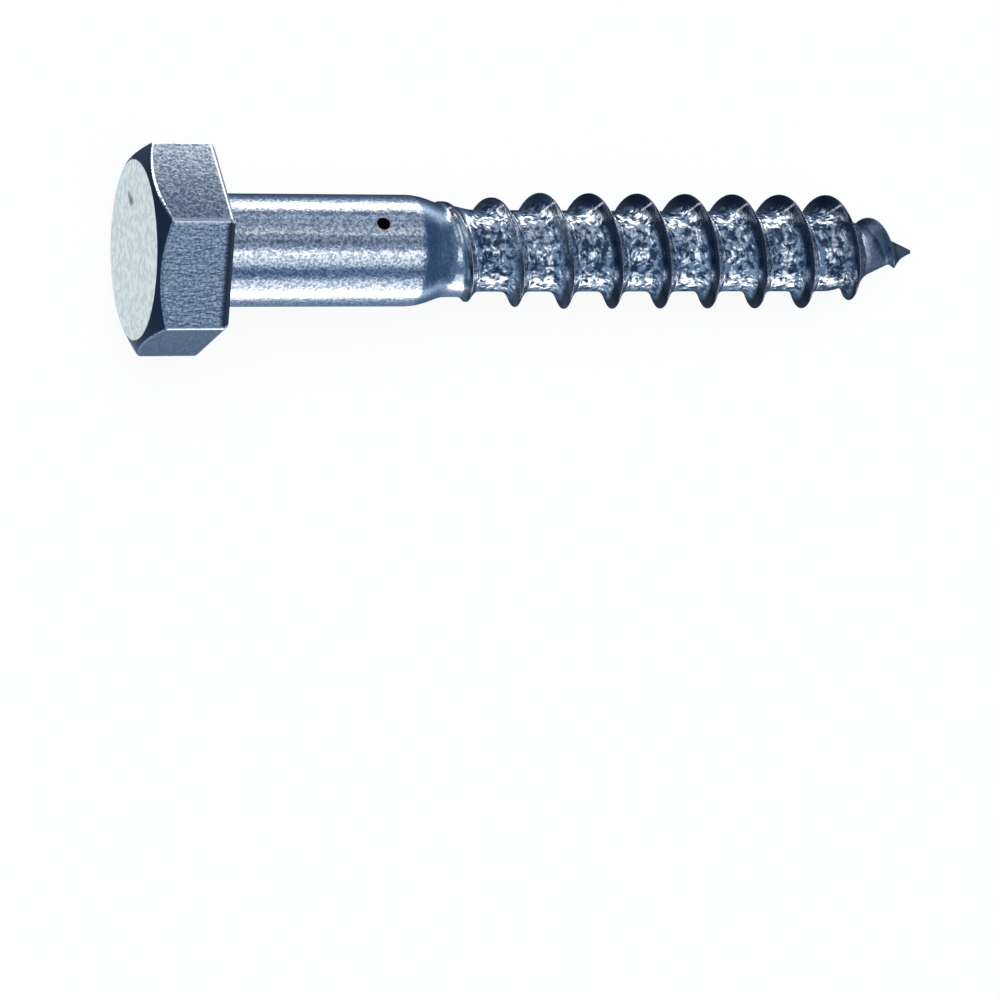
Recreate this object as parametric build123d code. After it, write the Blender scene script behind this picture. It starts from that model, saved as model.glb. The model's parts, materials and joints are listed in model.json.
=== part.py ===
from build123d import *
import math
import os

# Lag screw, 10 x 65 mm: forged hexagon head, smooth shank, rolled wood-screw thread
# with a gimlet point. One solid. Lengths in millimetres, angles in degrees.
# It is built along X, from the underside of the head at 0 to the point.

# Hexagon head
across_flats = 16.0
head_height = 6.4
face_diameter = 15.0            # flat circle that the chamfer leaves on top of the head
head_chamfer_angle = 30.0       # between the chamfer and the face
head_edge_radius = 0.3          # rounding along the six upright edges
bearing_bevel = 0.4             # 45 degree bevel around the underside of the hexagon

# Shank and neck
screw_length = 65.0             # from under the head to the point
shank_diameter = 9.5
shank_length = 18.2             # from under the head to the start of the neck
underhead_length = 0.5          # elliptical fillet under the head: along the shank
underhead_height = 0.4          # and across the underside
neck_length = 2.3               # cone from the shank down to the bare blank
neck_radius = 1.5               # rounding where the shank turns into the neck
blank_diameter = 7.9            # bare blank between the neck and the thread
bare_blank_length = 1.7
core_step_length = 0.6          # short cone from the blank down to the core

# Thread, right-handed, one start: a ridge that winds around the core
thread_diameter = 10.0
core_diameter = 7.0
thread_pitch = 4.5
flank_angle = 60.0              # between the two flanks of the ridge
crest_width = 0.15
ridge_overlap = 0.9             # the ridge starts this far inside the neck
ridge_start_angle = 261.0       # place of its start around the axis
crest_rise_length = 9.4         # the crests grow from the blank to full height
crest_taper_length = 8.4        # last stretch, where the crests close in on the point
crest_taper_power = 1.5         # they do so slowly at first: 1 would be an even taper
core_point_angle = 23.3         # half angle of the cone that the core follows
bare_point_length = 0.4         # point past the end of the ridge
point_diameter = 0.3            # the point is slightly blunt

# Worked out from the sizes above
corner_radius = across_flats / math.sqrt(3)
face_radius = face_diameter / 2
shank_radius = shank_diameter / 2
blank_radius = blank_diameter / 2
crest_radius = thread_diameter / 2
core_radius = core_diameter / 2
point_radius = point_diameter / 2
neck_end = shank_length + neck_length
core_start = neck_end + bare_blank_length + core_step_length
flank_slope = math.tan(math.radians(flank_angle / 2))
core_point_slope = math.tan(math.radians(core_point_angle))
core_taper_start = screw_length - (core_radius - point_radius) / core_point_slope
ridge_start = neck_end - ridge_overlap
ridge_end = screw_length - bare_point_length
ridge_turns = (ridge_end - ridge_start) / thread_pitch
crest_taper_start = screw_length - crest_taper_length

# The ridge is made in short spans. Its foot lies inside the core, at this share of the
# core's radius, and its crest sinks into the core at the point, at the second share.
span_turns = 0.5
span_steps = 7
foot_share = 0.8
sunk_crest_share = 0.95


def core_radius_at(x):
    """Radius of the core, x along the axis from the head."""
    return min(core_radius, point_radius + (screw_length - x) * core_point_slope)


def crest_radius_at(x):
    """Radius of the crests: growing out of the neck, even, then closing in."""
    grown = min((x - ridge_start) / crest_rise_length, 1)
    closed = max((x - crest_taper_start) / (ridge_end - crest_taper_start), 0)
    end_radius = core_radius_at(ridge_end) * sunk_crest_share
    rising = blank_radius + (crest_radius - blank_radius) * grown
    closing = crest_radius - (crest_radius - end_radius) * closed**crest_taper_power
    return min(rising, closing)


def hexagon_head():
    """Forged hexagon, chamfered round its face and bevelled round its underside."""
    hexagon = Plane.YZ * RegularPolygon(corner_radius, 6)
    prism = extrude(hexagon, -head_height)
    prism = chamfer(prism.faces().sort_by(Axis.X)[-1].edges(), bearing_bevel)
    prism = fillet(prism.edges().filter_by(Axis.X), head_edge_radius)
    drop = (corner_radius - face_radius) * math.tan(math.radians(head_chamfer_angle))
    turned = Polyline(
        (-head_height, 0),
        (-head_height, face_radius),
        (drop - head_height, corner_radius),
        (0, corner_radius),
        (0, 0),
        close=True,
    )
    return prism & revolve(make_face(turned), Axis.X)


def shank_and_core():
    """Everything round: shank, neck, bare blank and core, with a root in the head."""
    root = -head_height / 2
    underhead_radius = shank_radius + underhead_height
    outside = Polyline(
        (0, underhead_radius),
        (0, underhead_radius + underhead_height),
        (root, underhead_radius + underhead_height),
        (root, 0),
        (screw_length, 0),
        (screw_length, point_radius),
        (core_taper_start, core_radius),
        (core_start, core_radius),
        (core_start - core_step_length, blank_radius),
        (neck_end, blank_radius),
        (shank_length, shank_radius),
        (underhead_length, shank_radius),
    )
    centre = (underhead_length, underhead_radius)
    underhead = EllipticalCenterArc(
        centre, underhead_length, underhead_height, start_angle=180, arc_size=90
    )
    outline = make_face(outside + underhead)
    shoulder = outline.vertices().sort_by_distance((shank_length, shank_radius))[0]
    return revolve(fillet(shoulder, neck_radius), Axis.X)


def ridge_point(turn, side, on_crest):
    """Corner of the ridge's section, this many turns after its start."""
    x = ridge_start + thread_pitch * turn
    crest = crest_radius_at(x)
    foot = min(core_radius_at(x), crest) * foot_share
    radius = crest if on_crest else foot
    half_width = crest_width / 2 + (crest - radius) * flank_slope
    angle = math.radians(ridge_start_angle) + math.tau * turn
    return (x + side * half_width, radius * math.cos(angle), radius * math.sin(angle))


def ridge_edge(start, end, side, on_crest):
    """One of the four long edges of one span of the ridge."""
    shares = [i / span_steps for i in range(span_steps + 1)]
    points = [ridge_point(start + (end - start) * share, side, on_crest) for share in shares]
    return Edge.make_spline(points, parameters=shares)


def thread_ridge():
    """The rolled thread: a helical bar with sloping flanks and a narrow flat crest."""
    spans = math.ceil(ridge_turns / span_turns)
    corners = [(-1, False), (-1, True), (1, True), (1, False)]
    faces = []
    for i in range(spans):
        start = ridge_turns * i / spans
        end = ridge_turns * (i + 1) / spans
        edges = [ridge_edge(start, end, side, on_crest) for side, on_crest in corners]
        for j in range(4):
            faces.append(Face.make_surface_from_curves(edges[j - 1], edges[j]))
    for turn in (0, ridge_turns):
        section = [ridge_point(turn, side, on_crest) for side, on_crest in corners]
        faces.append(Face(Wire.make_polygon(section)))
    return Solid(Shell(faces))


def rest_tilt():
    """Angle at which the screw lies on one flat of its head and on one crest."""
    turn_below = (270 - ridge_start_angle) / 360
    tilts = []
    for i in range(1, math.floor(ridge_turns)):
        x = ridge_start + thread_pitch * (turn_below + i) + crest_width / 2
        drop = across_flats / 2 - crest_radius_at(x)
        tilts.append(math.degrees(math.atan2(drop, x + bearing_bevel)))
    return min(tilts)


def lag_screw():
    """The whole screw, lying on the ground with its origin under the middle."""
    screw = hexagon_head() + (shank_and_core() + thread_ridge())
    screw = Rot(0, rest_tilt(), 0) * screw
    box = screw.bounding_box()
    return Pos(-box.center().X, -box.center().Y, -box.min.Z) * screw


os.makedirs("parts", exist_ok=True)
export_step(lag_screw(), "parts/lag_screw.step")
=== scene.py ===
import json
import math

import bpy
import numpy as np
from mathutils import Matrix, Quaternion, Vector


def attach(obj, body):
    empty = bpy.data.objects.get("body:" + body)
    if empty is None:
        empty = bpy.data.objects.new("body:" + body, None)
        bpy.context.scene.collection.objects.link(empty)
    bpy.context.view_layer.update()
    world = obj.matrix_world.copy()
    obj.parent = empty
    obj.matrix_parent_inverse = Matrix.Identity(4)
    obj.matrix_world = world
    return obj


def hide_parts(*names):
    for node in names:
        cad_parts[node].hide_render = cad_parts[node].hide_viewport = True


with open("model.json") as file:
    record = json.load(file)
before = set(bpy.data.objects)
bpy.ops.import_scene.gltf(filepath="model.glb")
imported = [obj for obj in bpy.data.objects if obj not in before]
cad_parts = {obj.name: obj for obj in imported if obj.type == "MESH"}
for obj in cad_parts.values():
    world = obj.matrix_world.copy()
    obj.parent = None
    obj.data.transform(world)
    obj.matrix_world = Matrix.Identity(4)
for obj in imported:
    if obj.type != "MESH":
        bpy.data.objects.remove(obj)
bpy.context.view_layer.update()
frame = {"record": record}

# A zinc plated lag screw lying on a pale floor. The screw is one closed mesh, worked out
# in its own frame in millimetres: x runs along its axis, from the underside of the head
# at 0 to the point, and z is on top. Angles around it turn from its y towards its z, in
# degrees; angles "from the top" are 0 on top and grow towards its y.

MM = 0.001

# Head
FLAT_RADIUS = 8.0               # from the axis to a flat of the hexagon
HEAD_HEIGHT = 6.4
FACE_RADIUS = 7.5
CHAMFER_SLOPE = math.tan(math.radians(30))
BEARING_BEVEL = 0.4
UPRIGHT_EDGE_RADIUS = 0.3
FACE_EDGE_RADIUS = 0.2          # rounding between the face and its chamfer
CHAMFER_EDGE_RADIUS = 0.35      # between the chamfer and the flats
BEVEL_EDGE_RADIUS = 0.45        # both edges of the bevel underneath, which is soft
NICKS = [(3.80, -1.61, 0.40, 0.07), (4.10, -2.40, 0.26, 0.04)]   # y, z, half width, depth
NICK_STRETCH = 1.8              # how many times longer they are, along z, than wide
NICK_FLOOR = 0.2                # share of their half width that is full depth

# Shank and neck
SCREW_LENGTH = 65.0
SHANK_RADIUS = 4.75
UNDERHEAD_LENGTH = 0.5
UNDERHEAD_HEIGHT = 0.4
SHANK_END = 18.2
NECK_END = 20.5
BLANK_RADIUS = 3.95             # behind the neck
NECK_SLOPE = (SHANK_RADIUS - BLANK_RADIUS) / (NECK_END - SHANK_END)
NECK_TOP_ROUNDING = 0.35
NECK_FOOT_ROUNDING = 0.12
FLECK = (14.12, 46.8, 0.585)    # black fleck: x, angle around the screw, radius

# Thread
PITCH = 4.5
CORE_RADIUS = 3.5
CREST_RADIUS = 5.0
CREST_WIDTH = 0.15
FIRST_CREST_WIDTH = 0.35        # the first crests aren't filled, so they are broad
FLANK_SLOPE = math.tan(math.radians(30))
RIDGE_START = 19.6
RIDGE_START_ANGLE = 261.0
CREST_RISE = 9.4
GROOVE_RISE_TURNS = 0.2         # the first groove gets deep over this part of a turn
GROOVE_SETTLED_TURNS = 0.6      # and behind the first crest over a length that shrinks
LONG_GROOVE_ENTRY = 3.0         # from this
SHORT_GROOVE_ENTRY = 1.0        # to this, between those two places
SECOND_CREST_ENTRY = 0.5        # the groove is deep from the second crest on, give or take this
RIDGE_END = 64.6
CREST_TAPER_START = 56.6
CREST_TAPER_POWER = 1.5
POINT_SLOPE = math.tan(math.radians(23.3))
POINT_RADIUS = 0.15
POINT_ROUNDING = 0.3            # where the point's cone leaves the even core
SUNK_CREST_SHARE = 0.95
ROOT_ROUNDING = 0.8
CREST_ROUNDING = 0.05

# Mesh
SIDE_COLUMNS = 36               # columns of vertices on one side of the hexagon
CORNER_CROWDING = 0.75          # how much closer together they are at its corners
HEAD_ARC_STEPS = [4, 8, 6, 6]               # rows on the rounded edges, from the face on
HEAD_STRAIGHT_STEPS = [36, 3, 12, 3, 4]     # and on what lies before, between and behind them
FILLET_STEPS = 6
SHANK_STEPS = 39
NECK_STEPS = 15
NECK_ROWS_FROM = SHANK_END - 1  # the rows are closer together from here on
THREAD_FROM = 19.4              # from here to there the rows follow the helix
THREAD_TO = 64.7
ROW_GAP = 0.02                  # least gap between those rows and the others
LEAST_FLANK = 0.5               # height that a flank's rows take up at least
TIP_ROWS = [(64.7, 0.28), (64.85, 0.215), (64.95, 0.17), (65.0, 0.09)]   # x, radius
FAR_KEY = 100000                # beyond the keys of the rows on the helix

# Rows across one half of a ridge, from the middle of its crest to the middle of the
# groove: shares of the crest's half width, of the flank and of the half groove.
HALF_RIDGE = (
    [(share, 0.0, 0.0) for share in (0.0, 0.6, 0.9)]
    + [(1.0, share, 0.0) for share in (0.05, 0.2, 0.45, 0.7, 0.88)]
    + [(1.0, 1.0, share) for share in (0.0, 0.1, 0.22, 0.42, 0.7)]
)
RIDGE_ROWS = (
    [(-1, (1.0, 1.0, 1.0))]
    + [(-1, row) for row in HALF_RIDGE[:0:-1]]
    + [(1, row) for row in HALF_RIDGE]
)


def screw_frame():
    """Matrix from the screw's own frame, in metres, to the row frame."""
    mounts = {m["name"]: m for m in frame["record"]["mounts"]}
    along = Vector(mounts["shank"]["axis"]).normalized()
    on_axis = Vector(mounts["shank"]["pos_m"])
    on_underside = Vector(mounts["bearing_face"]["pos_m"])
    origin = on_axis + along * along.dot(on_underside - on_axis)
    across = Vector((0, 1, 0))
    turn = Matrix((along, across, along.cross(across))).transposed().to_4x4()
    return Matrix.Translation(origin) @ turn


# ------------------------------------------------------------------ shape of the screw


def smooth_max(a, b, width):
    """The larger of two heights, with the corner between them rounded."""
    near = np.maximum(width - np.abs(a - b), 0) / width
    return np.maximum(a, b) + near * near * width / 4


def smooth_min(a, b, width):
    return -smooth_max(-a, -b, width)


def smooth_step(value, start, end):
    share = np.clip((value - start) / (end - start), 0, 1)
    return share * share * (3 - 2 * share)


def column_angles():
    """Angles of the columns, closer together at the corners of the hexagon."""
    share = np.arange(SIDE_COLUMNS) / SIDE_COLUMNS
    share = share - CORNER_CROWDING * np.sin(math.tau * share) / math.tau
    return np.concatenate([60 * (side + share) for side in range(6)])


def hexagon_radius(angle, flat_radius):
    """Radius of a hexagon with rounded corners, which lie at multiples of 60 degrees."""
    off_corner = np.abs(np.radians((angle + 30) % 60 - 30))
    straight = flat_radius / np.cos(math.radians(30) - off_corner)
    centre = (flat_radius - UPRIGHT_EDGE_RADIUS) / math.cos(math.radians(30))
    inside = np.maximum(UPRIGHT_EDGE_RADIUS**2 - (centre * np.sin(off_corner)) ** 2, 0)
    rounded = centre * np.cos(off_corner) + np.sqrt(inside)
    on_arc = straight * np.sin(off_corner) < UPRIGHT_EDGE_RADIUS / 2
    return np.where(on_arc, rounded, straight)


def line(start, end, count):
    """Points from start towards end, without the end."""
    share = np.arange(count)[:, None] / count
    return np.asarray(start) * (1 - share) + np.asarray(end) * share


def rounded_corner(before, corner, after, radius, count):
    """Points of an arc that rounds a corner of an outline."""
    before, corner, after = (np.asarray(point, float) for point in (before, corner, after))
    to_before = (before - corner) / np.linalg.norm(before - corner)
    to_after = (after - corner) / np.linalg.norm(after - corner)
    half = math.acos(np.dot(to_before, to_after)) / 2
    bisector = (to_before + to_after) / np.linalg.norm(to_before + to_after)
    centre = corner + bisector * radius / math.sin(half)
    spoke = corner + to_before * radius / math.tan(half) - centre
    sign = math.copysign(1, spoke[0] * to_after[1] - spoke[1] * to_after[0])
    angles = sign * (math.pi - 2 * half) * np.arange(count + 1) / count
    x = centre[0] + spoke[0] * np.cos(angles) - spoke[1] * np.sin(angles)
    y = centre[1] + spoke[0] * np.sin(angles) + spoke[1] * np.cos(angles)
    return np.stack([x, y], axis=1)


def head_outline(side_radius, bevel_radius):
    """Points (x, radius) from beside the middle of the face to under the head."""
    corners = [
        (-HEAD_HEIGHT, 0.0),
        (-HEAD_HEIGHT, FACE_RADIUS),
        (-HEAD_HEIGHT + (side_radius - FACE_RADIUS) * CHAMFER_SLOPE, side_radius),
        (-BEARING_BEVEL, side_radius),
        (0.0, bevel_radius),
        (0.0, SHANK_RADIUS + UNDERHEAD_HEIGHT),
    ]
    radii = [FACE_EDGE_RADIUS, CHAMFER_EDGE_RADIUS, BEVEL_EDGE_RADIUS, BEVEL_EDGE_RADIUS]
    rows = []
    last = (-HEAD_HEIGHT, FACE_RADIUS / HEAD_STRAIGHT_STEPS[0])
    for i, radius in enumerate(radii):
        arc = rounded_corner(*corners[i:i + 3], radius, HEAD_ARC_STEPS[i])
        rows += [line(last, arc[0], HEAD_STRAIGHT_STEPS[i]), arc[:-1]]
        last = arc[-1]
    rows.append(line(last, corners[-1], HEAD_STRAIGHT_STEPS[-1]))
    return np.concatenate(rows)


def neck_radius(x):
    """Radius of the shank, the neck and the bare blank."""
    cone = SHANK_RADIUS - (x - SHANK_END) * NECK_SLOPE
    below_shank = smooth_min(cone, SHANK_RADIUS, NECK_TOP_ROUNDING)
    return smooth_max(below_shank, BLANK_RADIUS, NECK_FOOT_ROUNDING)


def shank_outline():
    """Points (x, radius) from the fillet under the head to the first turn of the thread."""
    quarter = np.radians(np.linspace(180, 270, FILLET_STEPS + 1))
    fillet_x = UNDERHEAD_LENGTH * (1 + np.cos(quarter))
    fillet_radius = SHANK_RADIUS + UNDERHEAD_HEIGHT * (1 + np.sin(quarter))
    even = np.linspace(UNDERHEAD_LENGTH, NECK_ROWS_FROM, SHANK_STEPS + 1)[1:]
    neck = np.linspace(NECK_ROWS_FROM, THREAD_FROM, NECK_STEPS + 1)[1:]
    x = np.concatenate([even, neck])
    radius = np.concatenate([fillet_radius, neck_radius(x)])
    return np.stack([np.concatenate([fillet_x, x]), radius], axis=1)


def point_cone(x):
    return POINT_RADIUS + (SCREW_LENGTH - x) * POINT_SLOPE


def groove_radius(x, turn):
    """Radius between the ridges, on the column at this share of a turn. The first groove
    gets deep behind the first crest, from the back of the neck on."""
    first_crest = RIDGE_START + PITCH * turn
    settled = smooth_step(turn, GROOVE_RISE_TURNS, GROOVE_SETTLED_TURNS)
    length = LONG_GROOVE_ENTRY + (SHORT_GROOVE_ENTRY - LONG_GROOVE_ENTRY) * settled
    entry = smooth_step(x, first_crest, first_crest + length)
    entry = entry * smooth_step(turn, 0, GROOVE_RISE_TURNS)
    second_crest = first_crest + PITCH
    behind = smooth_step(x, second_crest - SECOND_CREST_ENTRY, second_crest + SECOND_CREST_ENTRY)
    depth = (BLANK_RADIUS - CORE_RADIUS) * np.maximum(entry, behind)
    return smooth_min(point_cone(x), neck_radius(x) - depth, POINT_ROUNDING)


def crest_at(x):
    """Radius and half width of the crest that passes x."""
    grown = np.clip((x - RIDGE_START) / CREST_RISE, 0, 1)
    rising = BLANK_RADIUS + (CREST_RADIUS - BLANK_RADIUS) * grown
    end = point_cone(RIDGE_END) * SUNK_CREST_SHARE
    closed = np.maximum((x - CREST_TAPER_START) / (RIDGE_END - CREST_TAPER_START), 0)
    closing = CREST_RADIUS - (CREST_RADIUS - end) * closed**CREST_TAPER_POWER
    width = FIRST_CREST_WIDTH + (CREST_WIDTH - FIRST_CREST_WIDTH) * grown
    return np.maximum(np.minimum(rising, closing), end), width / 2


def thread_radius(x, turn):
    """Radius of the threaded surface at x, on the column at this share of a turn."""
    crest_x = RIDGE_START + PITCH * (turn + np.round((x - RIDGE_START) / PITCH - turn))
    crest, half_width = crest_at(crest_x)
    beside = (np.abs(x - crest_x) - half_width) / FLANK_SLOPE
    ridge = crest - smooth_max(beside, 0, CREST_ROUNDING / FLANK_SLOPE)
    ridge = np.where(crest_x < RIDGE_START, 0, ridge)
    return smooth_max(groove_radius(x, turn), ridge, ROOT_ROUNDING)


def thread_rows(turn):
    """x of every row of the thread, on the column at this share of a turn."""
    rows = []
    for n in range(-1, math.ceil((THREAD_TO - RIDGE_START) / PITCH) + 1):
        crest_x = RIDGE_START + PITCH * (turn + n)
        crest, half_width = crest_at(crest_x)
        flank_height = crest - min(CORE_RADIUS, point_cone(crest_x), crest)
        flank = max(flank_height, LEAST_FLANK) * FLANK_SLOPE
        groove = PITCH / 2 - half_width - flank
        for side, (on_crest, on_flank, on_groove) in RIDGE_ROWS:
            offset = half_width * on_crest + flank * on_flank + groove * on_groove
            rows.append(crest_x + side * offset)
    return np.array(rows)


def from_nick(y, z, nick_y, nick_z, half_width):
    """Distance from the middle of a nick in the head's face, 1 at its edge."""
    return np.hypot(y - nick_y, (z - nick_z) / NICK_STRETCH) / half_width


def dent_face(x, y, z):
    """x with the nicks in the head's face pressed in."""
    on_face = x < FACE_EDGE_RADIUS - HEAD_HEIGHT
    for *place, depth in NICKS:
        x = x + on_face * depth * (1 - smooth_step(from_nick(y, z, *place), NICK_FLOOR, 1))
    return x


# ------------------------------------------------------------------ mesh of the screw


def stitch(left, right, left_keys, right_keys):
    """Faces between two neighbouring columns of vertices, joined where keys are equal."""
    faces = []
    i = j = 0
    while i < len(left) - 1 or j < len(right) - 1:
        left_key = left_keys[i + 1] if i < len(left) - 1 else math.inf
        right_key = right_keys[j + 1] if j < len(right) - 1 else math.inf
        if left_key == right_key:
            faces.append((left[i], right[j], right[j + 1], left[i + 1]))
            i += 1
            j += 1
        elif left_key < right_key:
            faces.append((left[i], right[j], left[i + 1]))
            i += 1
        else:
            faces.append((left[i], right[j], right[j + 1]))
            j += 1
    return faces


def column(turn, head, shank):
    """Points (x, radius) of one column and a key for each, which neighbours share."""
    rows = thread_rows(turn)
    inside = np.flatnonzero((rows > THREAD_FROM + ROW_GAP) & (rows < THREAD_TO - ROW_GAP))
    threaded = np.stack([rows[inside], thread_radius(rows[inside], turn)], axis=1)
    fixed = np.concatenate([head, shank])
    points = np.concatenate([fixed, threaded, TIP_ROWS])
    before = np.arange(len(fixed)) - FAR_KEY
    after = np.arange(len(TIP_ROWS)) + FAR_KEY
    return points, np.concatenate([before, inside, after])


def screw_mesh():
    angles = column_angles()
    turns = ((angles - RIDGE_START_ANGLE) / 360) % 1
    sides = hexagon_radius(angles, FLAT_RADIUS)
    bevels = hexagon_radius(angles, FLAT_RADIUS - BEARING_BEVEL)
    shank = shank_outline()
    points = [(-HEAD_HEIGHT, 0.0, 0.0), (SCREW_LENGTH, 0.0, 0.0)]
    columns = []
    for angle, turn, side, bevel in zip(np.radians(angles), turns, sides, bevels):
        outline, keys = column(turn, head_outline(side, bevel), shank)
        x, radius = outline.T
        y, z = radius * math.cos(angle), radius * math.sin(angle)
        first = len(points)
        points += list(zip(dent_face(x, y, z), y, z))
        columns.append((list(range(first, len(points))), keys))
    faces = []
    for i, (left, left_keys) in enumerate(columns):
        j = (i + 1) % len(columns)
        right, right_keys = columns[j]
        if turns[j] < turns[i]:
            a_turn_on = right_keys - len(RIDGE_ROWS)
            on_helix = (right_keys >= 0) & (right_keys < FAR_KEY)
            right_keys = np.where(on_helix, a_turn_on, right_keys)
        faces.append((0, right[0], left[0]))
        faces += stitch(left, right, left_keys, right_keys)
        faces.append((1, left[-1], right[-1]))
    mesh = bpy.data.meshes.new("lag_screw_body")
    mesh.from_pydata(points, [], faces)
    mesh.update()
    mesh.shade_smooth()
    return mesh


# ------------------------------------------------------------------ regions of the finish, the painted shade and the painted highlights

# Where the regions begin. A pair is where a region fades in, from 0 at its first number
# to 1 at its second. Four numbers are where it fades in and where it fades out again.
# Toward the head or the tip: how far the surface faces that way, 1 if squarely.
HEAD_TO_X = 0.02
FACE_TOWARD_HEAD = (0.93, 0.99)
CHAMFER_TOWARD_HEAD = (0.55, 0.85)
BEVEL_TOWARD_TIP = (0.03, 0.12, 0.97, 0.99)
BEVEL_FROM_TOP = 29
SIDE_LEAN = 0.3                 # what leans less, either way, is one of the six sides
FLAT_FROM_CORNER = (1.0, 1.8)
UNDERSIDE_EDGE_X = (-0.9, -0.65)
WORN_TOWARD_TIP = (0.03, 0.12)
WORN_BACK_TOWARD_TIP = (0.55, 0.75)
WORN_FROM_TOP = (31, 89)
NICK_RIM = (1.2, 0.8)

NECK_X = (17.75, 17.95, 20.1, 20.4)
THREAD_X = (20.3, 20.8)
TIP_X = (58.8, 60.6)
TIP_END_X = (62.5, 63.3)
LAND_X = (20.0, 20.4, 22.6, 23.0)
LAND_RADIUS = (3.65, 3.85)
ROOT_RADIUS = (4.25, 3.9)
ROOT_TOWARD_TIP = (0.5, 0.25)
LAST_ROOTS_X = (54, 58)
FLANK_RADIUS = (3.95, 4.3)
FLANK_TOWARD_HEAD = (0.4, 0.75)
SIDE_FROM_TOP = (35, 50)        # on the side towards y the painted shade on the flank begins further down by this, where the flank faces the head less, by this
SIDE_FLANK_DROP = 0.25          # further down by this, where the flank
SIDE_FLANK_LEAN = 0.15          # faces the head less, by this
SHADED_CREST_RADIUS = (3.98, 4.06)
CREST_TOWARD_TIP = (0.5, 0.1)
EARLY_X = (35, 28)              # the first turns, with less painted shade
EARLY_GLOW_FROM_TOP = (12, 22, 50, 62)
SIDE_GLOW_RADIUS = (4.4, 4.1)
SIDE_GLOW_FROM_TOP = (53, 56, 64, 67)
TOP_GLOW_RADIUS = (4.5, 4.2)
TOP_GLOW_FROM_TOP = (-23, -19, -9, -5)
DEEP_SHADE_TOWARD_Y_FROM_TOP = (40, 50, 72, 82)
DEEP_SHADE_AWAY_FROM_Y_FROM_TOP = (-26, -38)
# How much each of these painted highlights keeps the painted shade off the flanks
GLOWS = {"early": 0.22, "early_glow": 0.4, "side_glow": 0.4, "top_glow": 0.9}

# The values that the material reads, and how much each region adds to them
FINISH_AND_PAINTED_LIGHT = {
    # painted shade: a dark coat over the metal, most of all in the thread and on the head's chamfer
    # and bevel
    "painted_shade": {
        "chamfer": 1, "bevel": 1, "underside_edge": 1, "worn_and_shaded_back": 0.5, "nick": 0.95,
        "top_flat": 0.18, "flats_toward_y": 0.2, "flats_away_from_y": 0.5, "neck": 0.15,
        "shaded_flank": 1, "shaded_crest": 1, "last_roots": 0.4, "tip": 0.52, "tip_end": 0.25,
    },
    # where that painted shade is nearly black
    "deep_shade": {"deep_shade_toward_y": 0.65, "deep_shade_away_from_y": 1},
    # the flanks that face the head, which bear the painted highlight line
    "flank": {"flank": 1},
    # a bluish satin finish, rougher, whose darker colour is painted shade
    "satin_and_shade": {"flat": 0.35, "top_flat": 0.25, "neck": 1, "tip": 0.9},
    # worn matt edges
    "frost": {"bevel": 0.8, "worn_and_shaded_back": 1, "upright_edge": 0.3, "tip": 0.35},
    # how uneven the plating is
    "relief": {
        "everywhere": 0.17, "face": -0.05, "flat": -0.04, "top_flat": 0.22, "neck": -0.05,
        "root": 1.3, "tip": -0.1,
    },
    # unevenness in larger patches
    "coarse": {"face": 1, "root": 1},
    # the grooves, whose blotches are darker: painted shade in the recesses
    "root": {"root": 1},
    # how blotchy the plating is
    "mottle": {
        "everywhere": 0.8, "face": -0.45, "flat": 0.2, "upright_edge": -0.6, "worn": -0.6,
        "land": -0.5, "root": 0.2,
    },
    # unevenness drawn out along the flat on top
    "streak": {"top_flat": 1},
}
MOST_OF_A_VALUE = 3             # they are kept between 0 and this


class Surface:
    """Where the vertices lie in the screw's own frame and which way they face."""

    def __init__(self, mesh):
        size = len(mesh.vertices) * 3
        self.own = np.zeros(size, np.float32)
        normal = np.zeros(size, np.float32)
        mesh.vertices.foreach_get("co", self.own)
        mesh.vertex_normals.foreach_get("vector", normal)
        self.x, self.y, self.z = self.own.reshape(-1, 3).T
        self.toward_tip = normal.reshape(-1, 3)[:, 0]
        self.toward_head = -self.toward_tip
        self.radius = np.hypot(self.y, self.z)
        self.from_top = np.degrees(np.arctan2(self.y, self.z))


def between(value, begin, full, still_full, end):
    """Fades from 0 to 1 and back to 0."""
    return smooth_step(value, begin, full) * smooth_step(value, end, still_full)


def edge_regions(at, head):
    """The bevel under the top flat, and the worn edge under the next flat towards y, whose back
    also takes painted shade.
    """
    bevel = head * between(at.toward_tip, *BEVEL_TOWARD_TIP)
    bevel = bevel * (np.abs(at.from_top) < BEVEL_FROM_TOP)
    on_worn_side = (at.from_top > WORN_FROM_TOP[0]) * (at.from_top < WORN_FROM_TOP[1])
    worn = head * smooth_step(at.toward_tip, *WORN_TOWARD_TIP) * on_worn_side
    worn_and_shaded_back = worn * smooth_step(at.toward_tip, *WORN_BACK_TOWARD_TIP)
    return {"bevel": bevel, "worn": worn, "worn_and_shaded_back": worn_and_shaded_back}


def side_regions(at, head):
    """The six flats of the head and the upright edges between them, at the corners of the
    hexagon: 30 degrees from the top and every 60 degrees on."""
    past_corner = (at.from_top - 30) % 60
    from_corner = np.minimum(past_corner, 60 - past_corner)
    side = head * (np.abs(at.toward_tip) < SIDE_LEAN)
    in_flat = smooth_step(from_corner, *FLAT_FROM_CORNER)
    flat = side * in_flat
    top_flat = flat * (np.abs(at.from_top) < 30)
    return {
        "flat": flat,
        "top_flat": top_flat,
        "flats_toward_y": flat * (at.from_top > 30),
        "flats_away_from_y": flat * (at.from_top < -30),
        "upright_edge": side * (1 - in_flat),
        "underside_edge": top_flat * smooth_step(at.x, *UNDERSIDE_EDGE_X),
    }


def head_regions(at):
    head = at.x < HEAD_TO_X
    face = head * smooth_step(at.toward_head, *FACE_TOWARD_HEAD)
    chamfer = head * smooth_step(at.toward_head, *CHAMFER_TOWARD_HEAD) * (1 - face)
    nicks = [smooth_step(from_nick(at.y, at.z, *place), *NICK_RIM) for *place, _ in NICKS]
    regions = {"face": face, "chamfer": chamfer, "nick": face * np.maximum.reduce(nicks)}
    return {**regions, **edge_regions(at, head), **side_regions(at, head)}


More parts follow.
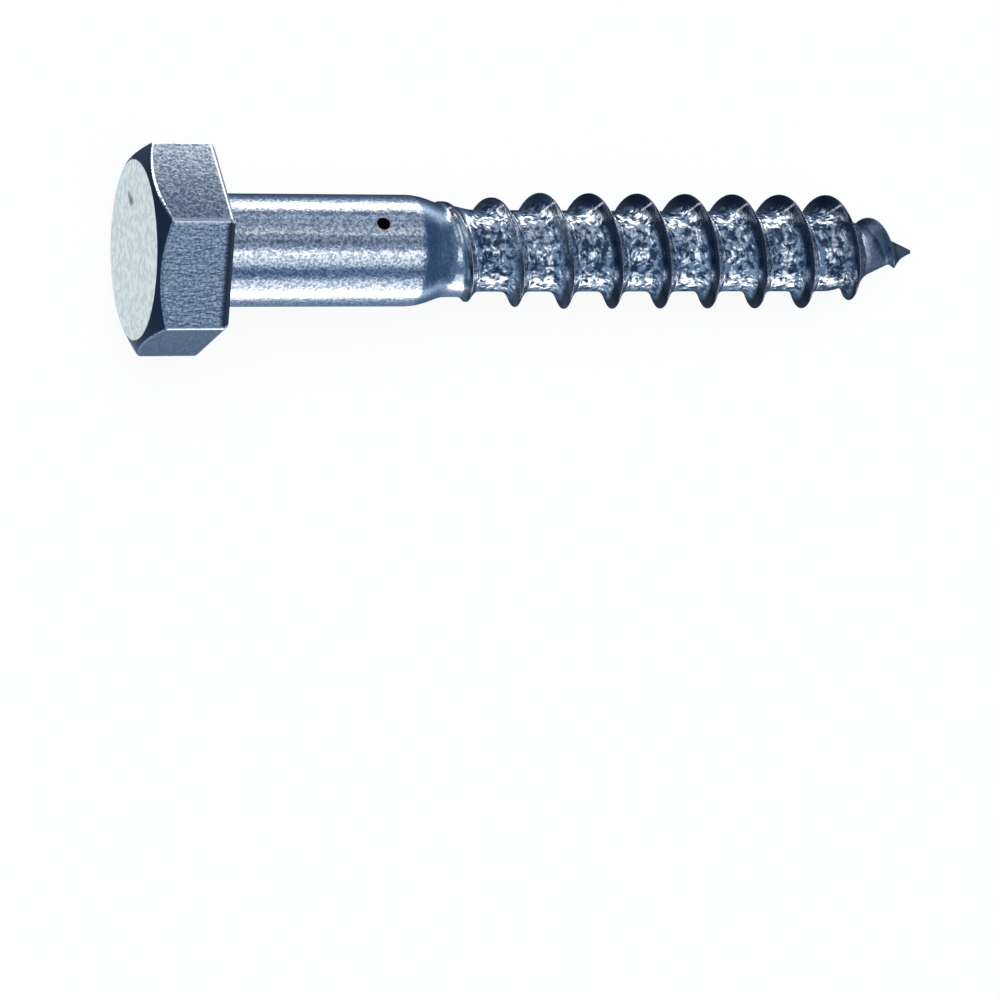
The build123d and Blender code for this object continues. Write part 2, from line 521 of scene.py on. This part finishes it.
def flank_and_crest(at, on_ridge):
    """The flanks that face the head, and the crests behind them."""
    side = smooth_step(at.from_top, *SIDE_FROM_TOP)
    foot, top = (radius - SIDE_FLANK_DROP * side for radius in FLANK_RADIUS)
    least, most = (lean - SIDE_FLANK_LEAN * side for lean in FLANK_TOWARD_HEAD)
    flank = on_ridge * smooth_step(at.radius, foot, top) * smooth_step(at.toward_head, least, most)
    crest = on_ridge * smooth_step(at.radius, *SHADED_CREST_RADIUS)
    crest = crest * smooth_step(at.toward_tip, *CREST_TOWARD_TIP)
    return flank, crest * (1 - smooth_step(at.toward_head, *FLANK_TOWARD_HEAD))


def glow_regions(at):
    """Painted highlights on the thread: where the painted shade is lifted off the flanks and
    crests.
    """
    early = smooth_step(at.x, *EARLY_X)
    side_foot = smooth_step(at.radius, *SIDE_GLOW_RADIUS)
    top_foot = smooth_step(at.radius, *TOP_GLOW_RADIUS)
    return {
        "early": early,
        "early_glow": early * between(at.from_top, *EARLY_GLOW_FROM_TOP),
        "side_glow": side_foot * between(at.from_top, *SIDE_GLOW_FROM_TOP),
        "top_glow": top_foot * between(at.from_top, *TOP_GLOW_FROM_TOP),
    }


def thread_regions(at):
    """The neck, the land before the first turn, the thread and the tip."""
    tip = smooth_step(at.x, *TIP_X)
    on_ridge = smooth_step(at.x, *THREAD_X) * (1 - tip)
    land = between(at.x, *LAND_X) * smooth_step(at.radius, *LAND_RADIUS)
    root = on_ridge * smooth_step(at.radius, *ROOT_RADIUS) * (1 - land)
    root = root * smooth_step(at.toward_tip, *ROOT_TOWARD_TIP)
    flank, crest = flank_and_crest(at, on_ridge)
    glows = glow_regions(at)
    glow = sum(share * glows[name] for name, share in GLOWS.items())
    return {
        "neck": between(at.x, *NECK_X),
        "land": land,
        "root": root,
        "last_roots": root * smooth_step(at.x, *LAST_ROOTS_X),
        "flank": flank,
        "shaded_flank": flank * (1 - glow),
        "shaded_crest": crest * (1 - glows["early_glow"]),
        # painted deep shade on the flanks and crests at these angles around the screw
        "deep_shade_toward_y": (flank + crest) * between(at.from_top, *DEEP_SHADE_TOWARD_Y_FROM_TOP),
        "deep_shade_away_from_y": (flank + crest) * smooth_step(at.from_top, *DEEP_SHADE_AWAY_FROM_Y_FROM_TOP),
        "tip": tip,
        "tip_end": smooth_step(at.x, *TIP_END_X),
    }


def add_finish_and_painted_light(mesh):
    """Vertex values that the material reads: own, the place in the screw's own frame, and
    those of FINISH_AND_PAINTED_LIGHT."""
    at = Surface(mesh)
    mesh.attributes.new("own", "FLOAT_VECTOR", "POINT").data.foreach_set("vector", at.own)
    regions = {"everywhere": np.ones(len(at.x)), **head_regions(at), **thread_regions(at)}
    for name, shares in FINISH_AND_PAINTED_LIGHT.items():
        value = sum(share * regions[region] for region, share in shares.items())
        layer = mesh.attributes.new(name, "FLOAT", "POINT")
        layer.data.foreach_set("value", np.clip(value, 0, MOST_OF_A_VALUE).astype(np.float32))


# ------------------------------------------------------------------ materials and light


class Nodes:
    """Short calls that add nodes to a shader."""

    def __init__(self, owner):
        owner.use_nodes = True
        self.tree = owner.node_tree
        self.tree.nodes.clear()

    def plug(self, socket, value):
        if isinstance(value, bpy.types.NodeSocket):
            self.tree.links.new(value, socket)
        else:
            socket.default_value = value

    def add(self, kind, inputs=(), **settings):
        """inputs are (name or number of a socket, value or output) pairs."""
        node = self.tree.nodes.new("ShaderNode" + kind)
        for name, value in settings.items():
            setattr(node, name, value)
        for key, value in inputs:
            self.plug(node.inputs[key], value)
        return node

    def math(self, operation, *values):
        return self.add("Math", enumerate(values), operation=operation).outputs[0]

    def split(self, vector):
        return self.add("SeparateXYZ", [(0, vector)]).outputs

    def attribute(self, name, output="Fac"):
        return self.add("Attribute", attribute_name=name).outputs[output]

    def spread(self, value, low, high, to_low=0.0, to_high=1.0, soft=True):
        kind = "SMOOTHSTEP" if soft else "LINEAR"
        inputs = enumerate((value, low, high, to_low, to_high))
        return self.add("MapRange", inputs, interpolation_type=kind).outputs[0]

    def bands(self, value, stops):
        """Colours along a line, from (place, colour) stops."""
        low, high = stops[0][0], stops[-1][0]
        share = self.spread(value, low, high, soft=False)
        ramp = self.add("ValToRGB", [(0, share)])
        elements = ramp.color_ramp.elements
        elements.remove(elements[-1])
        elements[0].position, elements[0].color = 0, (*stops[0][1], 1)
        for place, color in stops[1:]:
            elements.new((place - low) / (high - low)).color = (*color, 1)
        return ramp.outputs[0]

    def mix(self, share, a, b):
        pair = [(6, a), (7, b)]
        pair = [(k, (*v, 1) if isinstance(v, tuple) else v) for k, v in pair]
        return self.add("Mix", [(0, share), *pair], data_type="RGBA").outputs[2]

    def noise(self, vector, scale, detail, roughness, distortion=0.0):
        inputs = [("Vector", vector), ("Scale", scale), ("Detail", detail)]
        inputs += [("Roughness", roughness), ("Distortion", distortion)]
        return self.add("TexNoise", inputs).outputs[0]


# Colours of the light that the metal mirrors, from dark to bright
SHADE = (0.055, 0.085, 0.14)
SLATE = (0.12, 0.19, 0.32)
DUSK = (0.18, 0.27, 0.40)
STEEL = (0.30, 0.37, 0.50)
GREY = (0.465, 0.56, 0.70)
PALE = (0.80, 0.88, 0.97)
BRIGHT = (1.05, 1.1, 1.15)
GLARE = (1.5, 1.55, 1.6)
WHITE = (3.0, 3.0, 3.0)
FACE_GLOW = (0.78, 0.86, 0.85)  # of the patch painted on the floor that the head's face mirrors

# The studio as the metal mirrors it: soft strips along the screw. Above the floor they
# go by the angle from straight up towards +Y, in degrees.
SKY = [
    (-90, WHITE), (-82, WHITE), (-76, GLARE), (-68, BRIGHT), (-60, PALE), (-53, PALE),
    (-48, GREY), (-43, DUSK), (-38, SLATE), (-25, SLATE), (-21, STEEL), (-17, GREY),
    (-12, PALE), (0, PALE), (4, BRIGHT), (7.5, GLARE), (10, BRIGHT), (13.5, PALE), (17, GREY),
    (22, STEEL), (36, STEEL), (45, GREY), (51, PALE), (58, PALE), (64, GREY), (90, GREY),
]
LOUVRES_SKY = (20, 90, 12)      # from here to there the strips are louvred, at this pitch
# Along the screw they go by the share of the direction that is towards +X.
SKY_STRIPS_BEGIN = (-0.15, 0.15)
SKY_STRIPS_END = (0.52, 0.42)
TIP_GLOW_BEGINS = (0.88, 0.93)
# On the floor they are painted, for glossy rays only, and go by the distance from under the screw
# towards +Y, in metres: a painted shadow close around the screw and painted bright strips beside
# it.
FLOOR = [
    (-0.090, WHITE), (-0.060, BRIGHT), (-0.044, PALE), (-0.033, GREY), (-0.024, STEEL),
    (-0.016, DUSK), (-0.011, DUSK), (-0.008, SHADE), (0.0062, SHADE), (0.0090, SLATE),
    (0.0115, STEEL), (0.0134, PALE), (0.0154, BRIGHT), (0.0174, WHITE), (0.0240, WHITE),
    (0.0290, GLARE), (0.0350, BRIGHT), (0.0410, PALE), (0.0480, GREY), (0.0580, STEEL),
    (0.110, STEEL),
]
LOUVRES_FLOOR = (0.040, 0.120, 0.012)
LOUVRE_DEPTH = 0.6              # share of the light that the darkest louvres hold back
FLOOR_STRIPS_BEGIN = (-0.041, -0.036)       # x in metres, below which the painted strips give way to painted darkness

# A pale card in the sky behind the head: from and to this share towards +X, and these
# angles. A white and a pale patch are painted on the floor beside the head, seen only in
# the metal's reflections: from x and to x, from y and to y, in metres.
BACK_CARD = (-0.78, -0.42, 22, 75)
SIDE_PAINTED_PATCH = (-0.075, -0.033, 0.020, 0.120)
FACE_PAINTED_PATCH = (-0.0445, -0.0352, -0.0122, 0.0070)
CARD_FADE_X = 0.1               # share of a card's size over which it fades in, along x
CARD_FADE_Y = 0.05              # and across

FLOOR_SIZE = 3                  # metres
FLOOR_COLOR = (0.95, 0.95, 0.95, 1)
FLOOR_GLOW = 0.92               # share of the seen floor that is plain white, without shadow

# The lamp that gives the screw its shadow
LAMP_STRENGTH = 2.2
LAMP_WIDTH = math.radians(40)
LAMP_TURN = (math.radians(-30), math.radians(-10), 0)

# Colours of the metal. Darker and lighter blotches make up the plating and the satin, whose dark
# colours are painted shade.
PLAIN_ZINC = (0.72, 0.77, 0.83)
LIGHT_ZINC = (0.97, 0.99, 1.0)
DARK_ZINC = (0.31, 0.38, 0.49)
# painted shade: the darker blotches in the grooves
SHADED_ZINC_IN_ROOT = (0.10, 0.15, 0.22)
SHADED_SATIN_LIGHT = (0.26, 0.36, 0.51)
SHADED_SATIN_DARK = (0.18, 0.26, 0.37)
# Painted shade over the metal, and its nearly black depth
PAINTED_SHADE_COLOR = (0.056, 0.077, 0.112)
DEEP_SHADE_COLOR = (0.022, 0.030, 0.045)
FLECK_COLOR = (0.002, 0.002, 0.002)

# Noises: scale, detail, roughness, distortion
BUMPS = (2.4, 1.0, 0.5, 0.8)
COARSE_BUMPS = (1.5, 1.0, 0.5, 0.3)
DRAWN_BUMPS = (2.6, 1.5, 0.5, 0.8)
DRAWN_OUT = (0.4, 1.2, 1.2)     # scale of the drawn out unevenness, longer along x
BLOTCHES = (4.0, 1.0, 0.5, 0.4)
COARSE_BLOTCHES = (1.6, 1.5, 0.5, 0.4)
BLOTCH_EDGE = (0.40, 0.60)      # the noise goes from dark to light blotches between these
BUMP_HEIGHT = 0.00012           # metres

ROUGHNESS = 0.12
SATIN_ROUGHNESS = 0.18          # added to it
MATT_ROUGHNESS = 0.5

# A painted highlight: a thin bright line across the flank on every turn, painted where the flank
# would mirror a bright strip
HIGHLIGHT_LINE_ANGLE = 95.3          # degrees from the top, at the axis
HIGHLIGHT_LINE_SLANT = 4.8           # degrees less for each millimetre out
HIGHLIGHT_LINE_EDGE = (2.2, 1.0)     # degrees off its middle where it fades in
FLECK_EDGE = 0.03               # millimetres, either way


def painted_highlight_line(n, own, flank):
    """1 on the painted highlight line, 0 beside it."""
    x, y, z = n.split(own)
    from_top = n.math("MULTIPLY", n.math("ARCTAN2", y, z), 180 / math.pi)
    radius = n.math("SQRT", n.math("ADD", n.math("MULTIPLY", y, y), n.math("MULTIPLY", z, z)))
    highlight_angle = n.math("SUBTRACT", HIGHLIGHT_LINE_ANGLE, n.math("MULTIPLY", radius, HIGHLIGHT_LINE_SLANT))
    off_highlight = n.math("ABSOLUTE", n.math("SUBTRACT", from_top, highlight_angle))
    return n.math("MULTIPLY", flank, n.spread(off_highlight, *HIGHLIGHT_LINE_EDGE))


def black_fleck(n, own):
    """1 on the fleck, 0 beside it."""
    x, angle, radius = FLECK
    angle = math.radians(angle)
    centre = (x, SHANK_RADIUS * math.cos(angle), SHANK_RADIUS * math.sin(angle))
    away = n.add("VectorMath", [(0, own), (1, centre)], operation="DISTANCE").outputs["Value"]
    return n.spread(away, radius + FLECK_EDGE, radius - FLECK_EDGE)


def uneven_surface(n, own, coarse):
    """Bumps of the plating, drawn out along the flat on top."""
    bumps = n.mix(coarse, n.noise(own, *BUMPS), n.noise(own, *COARSE_BUMPS))
    stretched = n.add("Mapping", [("Vector", own), ("Scale", DRAWN_OUT)]).outputs[0]
    height = n.mix(n.attribute("streak"), bumps, n.noise(stretched, *DRAWN_BUMPS))
    height = n.math("MULTIPLY", height, n.attribute("relief"))
    bump = n.add("Bump", [("Height", height), ("Strength", 1.0), ("Distance", BUMP_HEIGHT)])
    return bump.outputs[0]


def metal_color(n, own, coarse, satin_and_shade, highlight_line):
    """Blotchy zinc, or bluish zinc darkened as painted shade, and the painted shade over it, which
    the painted highlight line lifts.
    """
    blotches = n.mix(coarse, n.noise(own, *BLOTCHES), n.noise(own, *COARSE_BLOTCHES))
    blotch = n.spread(blotches, *BLOTCH_EDGE)
    dark = n.mix(n.attribute("root"), DARK_ZINC, SHADED_ZINC_IN_ROOT)
    plating = n.mix(n.attribute("mottle"), PLAIN_ZINC, n.mix(blotch, dark, LIGHT_ZINC))
    bare = n.mix(satin_and_shade, plating, n.mix(blotch, SHADED_SATIN_DARK, SHADED_SATIN_LIGHT))
    painted_shade = n.math("SUBTRACT", n.attribute("painted_shade"), highlight_line)
    return n.mix(painted_shade, bare, n.mix(n.attribute("deep_shade"), PAINTED_SHADE_COLOR, DEEP_SHADE_COLOR))


def zinc():
    """Bright zinc plating over forged and rolled steel."""
    material = bpy.data.materials.new("zinc")
    n = Nodes(material)
    own = n.attribute("own", "Vector")
    coarse = n.attribute("coarse")
    satin_and_shade = n.attribute("satin_and_shade")
    # painted highlight line across the flanks, which lifts the painted shade and is rougher
    highlight_line = painted_highlight_line(n, own, n.attribute("flank"))
    fleck = black_fleck(n, own)
    color = n.mix(fleck, metal_color(n, own, coarse, satin_and_shade, highlight_line), FLECK_COLOR)
    normal = uneven_surface(n, own, coarse)
    shader = n.add("BsdfPrincipled", [("Base Color", color), ("Normal", normal)])
    shader.inputs["Metallic"].default_value = 1.0
    matt = n.math("ADD", n.math("ADD", fleck, highlight_line), n.attribute("frost"))
    rough = n.math("ADD", ROUGHNESS, n.math("MULTIPLY", satin_and_shade, SATIN_ROUGHNESS))
    rough = n.math("ADD", rough, n.math("MULTIPLY", matt, MATT_ROUGHNESS))
    n.plug(shader.inputs["Roughness"], rough)
    n.add("OutputMaterial", [("Surface", shader.outputs[0])])
    return material


def louvred(n, strips, value, louvres):
    """The strips with louvres in front of them between two places, at a pitch."""
    start, end, pitch = louvres
    wave = n.math("SINE", n.math("MULTIPLY", value, math.tau / pitch))
    dark = n.spread(wave, 1.0, -1.0, to_high=LOUVRE_DEPTH, soft=False)
    fade = pitch / 2
    begun = n.spread(value, start, start + fade)
    among = n.math("MULTIPLY", begun, n.spread(value, end, end - fade))
    return n.mix(n.math("MULTIPLY", dark, among), strips, (0.0, 0.0, 0.0))


def on_card(n, x, y, card):
    """1 on a card, 0 beside it."""
    left, right, near, far = card
    fade_x = CARD_FADE_X * (right - left)
    fade_y = CARD_FADE_Y * (far - near)
    along = n.math("MULTIPLY", n.spread(x, left, left + fade_x), n.spread(x, right, right - fade_x))
    across = n.math("MULTIPLY", n.spread(y, near, near + fade_y), n.spread(y, far, far - fade_y))
    return n.math("MULTIPLY", along, across)


def pale_floor():
    """A white floor that keeps the screw's shadow. Glossy rays see painted strips instead: a
    painted shadow close around the screw, painted bright strips, painted darkness past the head and
    two painted patches.
    """
    material = bpy.data.materials.new("pale_floor")
    n = Nodes(material)
    x, y, _ = n.split(n.add("NewGeometry").outputs["Position"])
    # painted reflection for glossy rays only: a painted shadow around the screw, painted bright
    # strips and painted darkness past the head
    strips = louvred(n, n.bands(y, FLOOR), y, LOUVRES_FLOOR)
    strips = n.mix(n.spread(x, *FLOOR_STRIPS_BEGIN), DUSK, strips)
    # two patches painted on the floor, seen only in the metal's reflections
    for card, color in ((SIDE_PAINTED_PATCH, WHITE), (FACE_PAINTED_PATCH, FACE_GLOW)):
        strips = n.mix(on_card(n, x, y, card), strips, color)
    painted_reflection = n.add("Emission", [("Color", strips), ("Strength", 1.0)])
    lit = n.add("BsdfDiffuse", [("Color", FLOOR_COLOR)])
    white = n.add("Emission", [("Color", (1, 1, 1, 1)), ("Strength", 1.0)])
    path = n.add("LightPath").outputs
    seen = n.math("MAXIMUM", path["Is Camera Ray"], path["Is Transmission Ray"])
    seen = n.math("MULTIPLY", seen, FLOOR_GLOW)
    plain = n.add("MixShader", [(0, seen), (1, lit.outputs[0]), (2, white.outputs[0])])
    mirror = path["Is Glossy Ray"]
    both = n.add("MixShader", [(0, mirror), (1, plain.outputs[0]), (2, painted_reflection.outputs[0])])
    n.add("OutputMaterial", [("Surface", both.outputs[0])])
    return material


def studio():
    """The sky that the metal mirrors: strips along the screw, a card behind its head."""
    world = bpy.data.worlds.new("studio")
    bpy.context.scene.world = world
    n = Nodes(world)
    x, y, z = n.split(n.add("TexCoord").outputs["Generated"])
    around = n.math("MULTIPLY", n.math("ARCTAN2", y, z), 180 / math.pi)
    strips = louvred(n, n.bands(around, SKY), around, LOUVRES_SKY)
    strips = n.mix(n.spread(x, *SKY_STRIPS_BEGIN), DUSK, strips)
    beyond_tip = n.mix(n.spread(x, *TIP_GLOW_BEGINS), SLATE, PALE)
    sky = n.mix(n.spread(x, *SKY_STRIPS_END), beyond_tip, strips)
    sky = n.mix(on_card(n, x, around, BACK_CARD), sky, PALE)
    light = n.add("Background", [("Color", sky), ("Strength", 1.0)])
    n.add("OutputWorld", [("Surface", light.outputs[0])])


def link(name, data):
    thing = bpy.data.objects.new(name, data)
    bpy.context.scene.collection.objects.link(thing)
    return thing


def soft_lamp():
    """Lights the floor from above, so that the screw has a soft shadow."""
    data = bpy.data.lights.new("soft_lamp", "SUN")
    data.energy = LAMP_STRENGTH
    data.angle = LAMP_WIDTH
    lamp = link("soft_lamp", data)
    lamp.rotation_euler = LAMP_TURN
    lamp.visible_glossy = False


# ------------------------------------------------------------------ camera

CAMERA_LENS = 144
CAMERA_SENSOR = 36
CAMERA_CLIP_START = 10 * MM
CAMERA_AIM = Vector((1.20, -24.67, 0.0)) * MM    # place on the floor
CAMERA_DISTANCE = 358 * MM
CAMERA_AZIMUTH = math.radians(224.86)            # 0 looks along +Y
CAMERA_ELEVATION = math.radians(65.19)
CAMERA_ROLL = math.radians(137.76)


def camera():
    data = bpy.data.cameras.new("camera")
    data.lens = CAMERA_LENS
    data.sensor_width = CAMERA_SENSOR
    data.clip_start = CAMERA_CLIP_START
    seer = link("camera", data)
    level = math.cos(CAMERA_ELEVATION)
    back = Vector((math.sin(CAMERA_AZIMUTH) * level, -math.cos(CAMERA_AZIMUTH) * level,
                   math.sin(CAMERA_ELEVATION)))
    seer.location = CAMERA_AIM + back * CAMERA_DISTANCE
    seer.rotation_mode = "QUATERNION"
    upright = (-back).to_track_quat("-Z", "Y")
    seer.rotation_quaternion = Quaternion(back, CAMERA_ROLL) @ upright
    bpy.context.scene.camera = seer


def floor():
    bpy.ops.mesh.primitive_plane_add(size=FLOOR_SIZE)
    plane = bpy.context.object
    plane.name = "floor"
    plane.data.materials.append(pale_floor())


def screw():
    mesh = screw_mesh()
    add_finish_and_painted_light(mesh)
    mesh.transform(screw_frame() @ Matrix.Scale(MM, 4))
    mesh.materials.append(zinc())
    body = link("lag_screw_body", mesh)
    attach(body, "root")
    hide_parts("lag_screw")


camera()
screw()
floor()
studio()
soft_lamp()
bpy.context.scene.view_settings.view_transform = "Standard"
